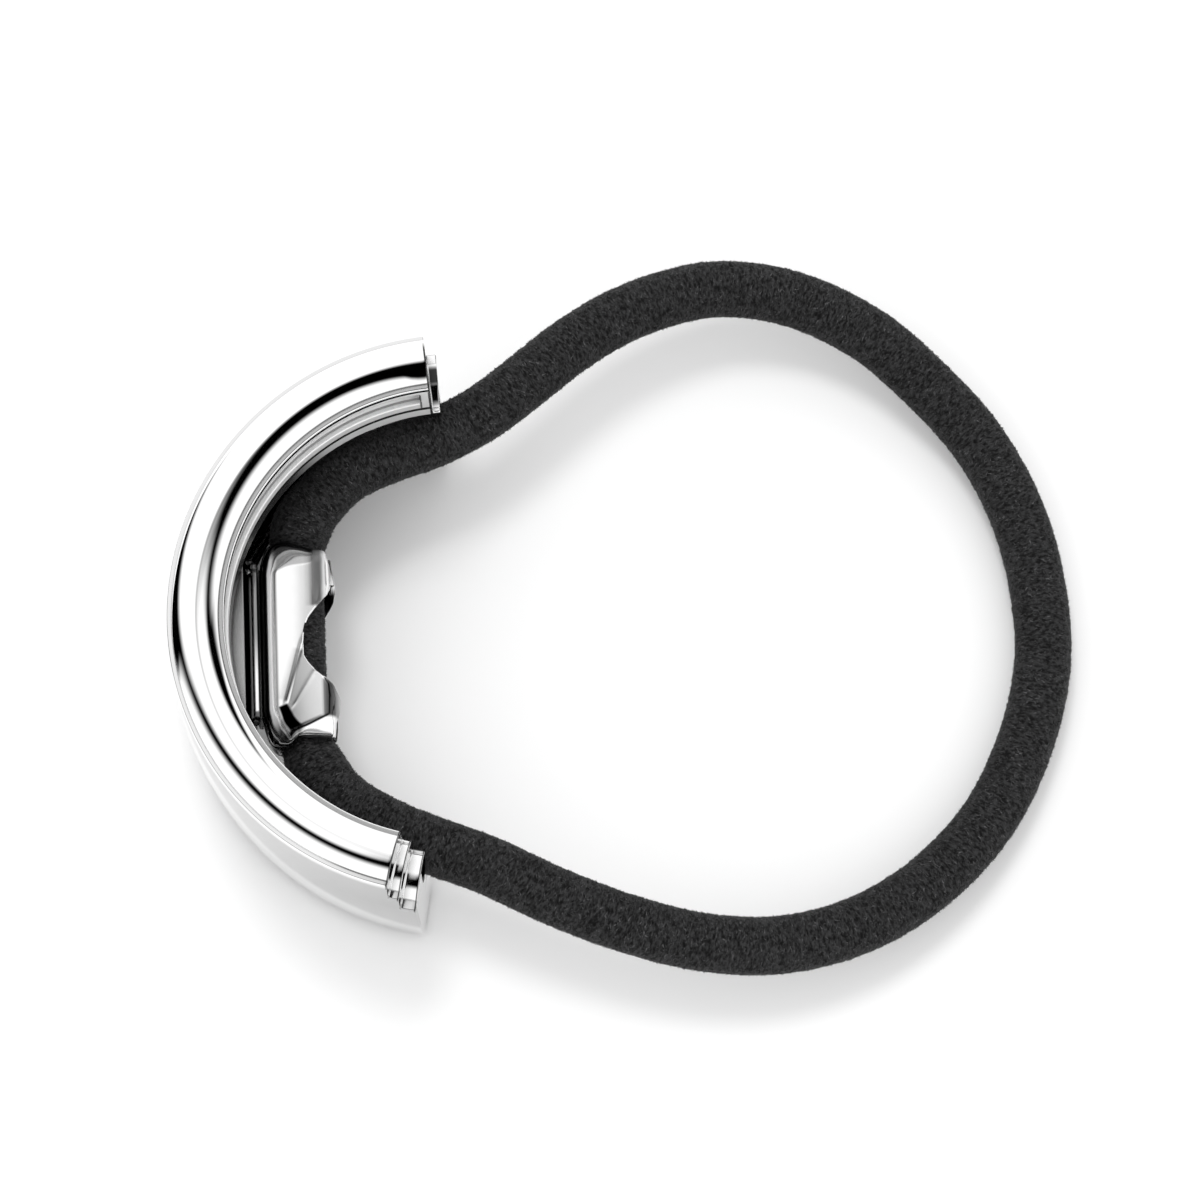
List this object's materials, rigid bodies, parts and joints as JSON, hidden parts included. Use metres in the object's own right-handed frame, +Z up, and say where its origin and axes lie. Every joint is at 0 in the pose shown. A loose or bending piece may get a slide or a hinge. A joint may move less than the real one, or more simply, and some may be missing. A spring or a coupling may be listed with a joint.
{
  "type": "ponytail cuff",
  "caption": "Polished half-ring ponytail cuff with domed rims, stepped ends and a folded clip inside that holds a black covered elastic loop.",
  "frame": {"origin": "axis of the half ring, in the plane of the rim that the cuff stands on", "axes": "+Z up along the axis of the half ring, +X from the closed side towards the elastic loop, +Y towards the upper end of the cuff in the picture"},
  "size_m": [0.0634, 0.0518, 0.019],
  "materials": {
    "cuff_metal": "mirror polished",
    "clip_metal": "polished sheet with soft crimp dents",
    "elastic_cover": "matt knitted cover with a short fibre nap"
  },
  "bodies": {
    "root": {"cuff": "cuff_metal", "clip": "clip_metal", "elastic": "elastic_cover"}
  },
  "joints": []
}
